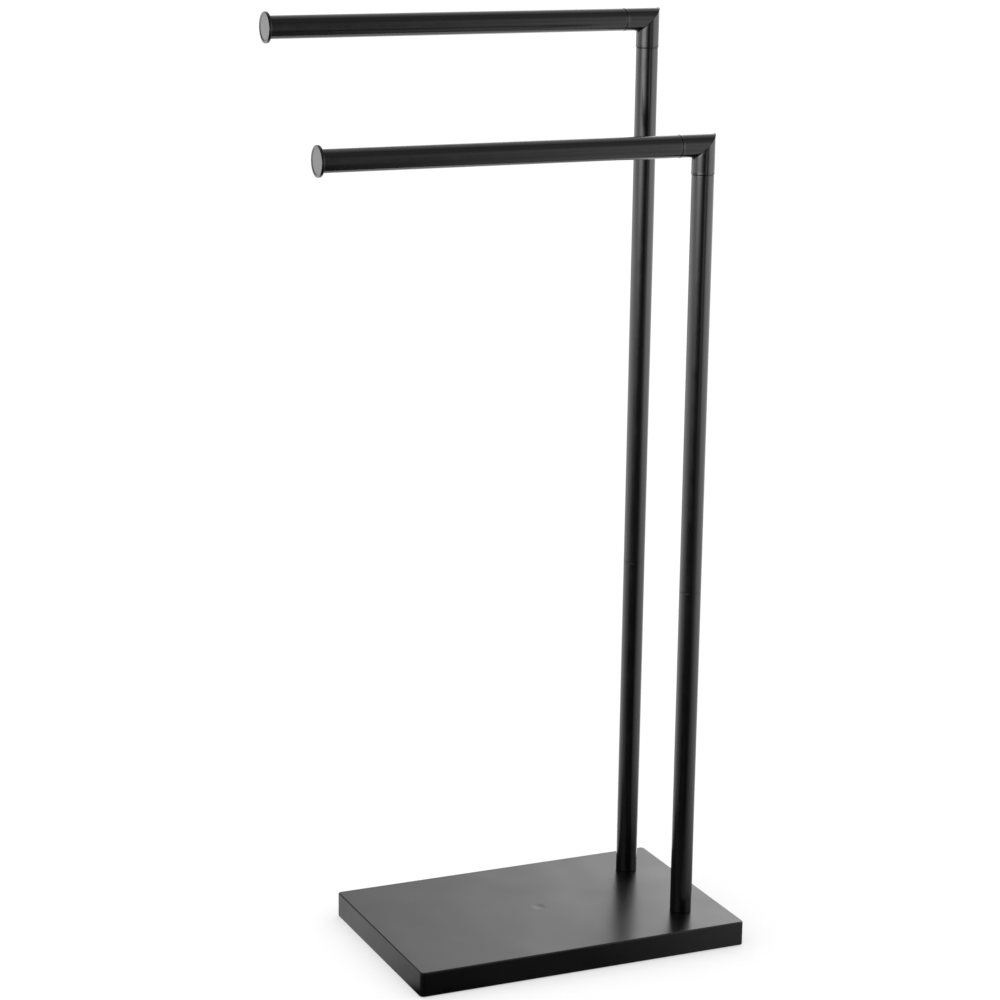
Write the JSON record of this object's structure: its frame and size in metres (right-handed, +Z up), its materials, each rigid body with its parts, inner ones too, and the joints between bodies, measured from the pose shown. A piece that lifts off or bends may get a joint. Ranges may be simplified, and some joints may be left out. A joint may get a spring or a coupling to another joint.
{
  "type": "freestanding towel stand",
  "caption": "Freestanding towel stand: a flat weighted rectangular base, round posts near one end, mitred elbows and open-ended arms at different heights with disc end caps.",
  "frame": {"origin": "on the floor, under the centre of the rectangular base, in the middle of the floor pad's lower face", "axes": "+Z up; +X along the base's long side towards the end that carries the posts, so the arms reach along -X; -Y is the front, where the post with the lower arm stands"},
  "size_m": [0.4085, 0.209, 0.8535],
  "materials": {
    "black_sheet": "satin black lacquer on folded sheet steel",
    "black_tube": "satin black lacquer on drawn steel tube",
    "black_casting": "satin black lacquer on a zinc casting",
    "zinc_plated_steel": "zinc plated",
    "fibreboard": "raw medium-density fibreboard",
    "black_rubber": "matt rubber sheet"
  },
  "bodies": {
    "root": {"base_cover": "black_sheet", "base_core_board": "fibreboard", "base_bottom_plate": "black_sheet", "base_floor_pad": "black_rubber", "foot_washers": "zinc_plated_steel", "foot_bolts": "zinc_plated_steel", "coupling_studs": "zinc_plated_steel", "rear_foot_insert": "zinc_plated_steel", "rear_lower_post": "black_tube", "rear_coupling_socket": "zinc_plated_steel", "rear_coupling_plug": "zinc_plated_steel", "rear_upper_post": "black_tube", "upper_elbow": "black_casting", "upper_arm": "black_tube", "upper_arm_end_cap": "black_casting", "front_foot_insert": "zinc_plated_steel", "front_lower_post": "black_tube", "front_coupling_socket": "zinc_plated_steel", "front_coupling_plug": "zinc_plated_steel", "front_upper_post": "black_tube", "lower_elbow": "black_casting", "lower_arm": "black_tube", "lower_arm_end_cap": "black_casting"}
  },
  "joints": []
}
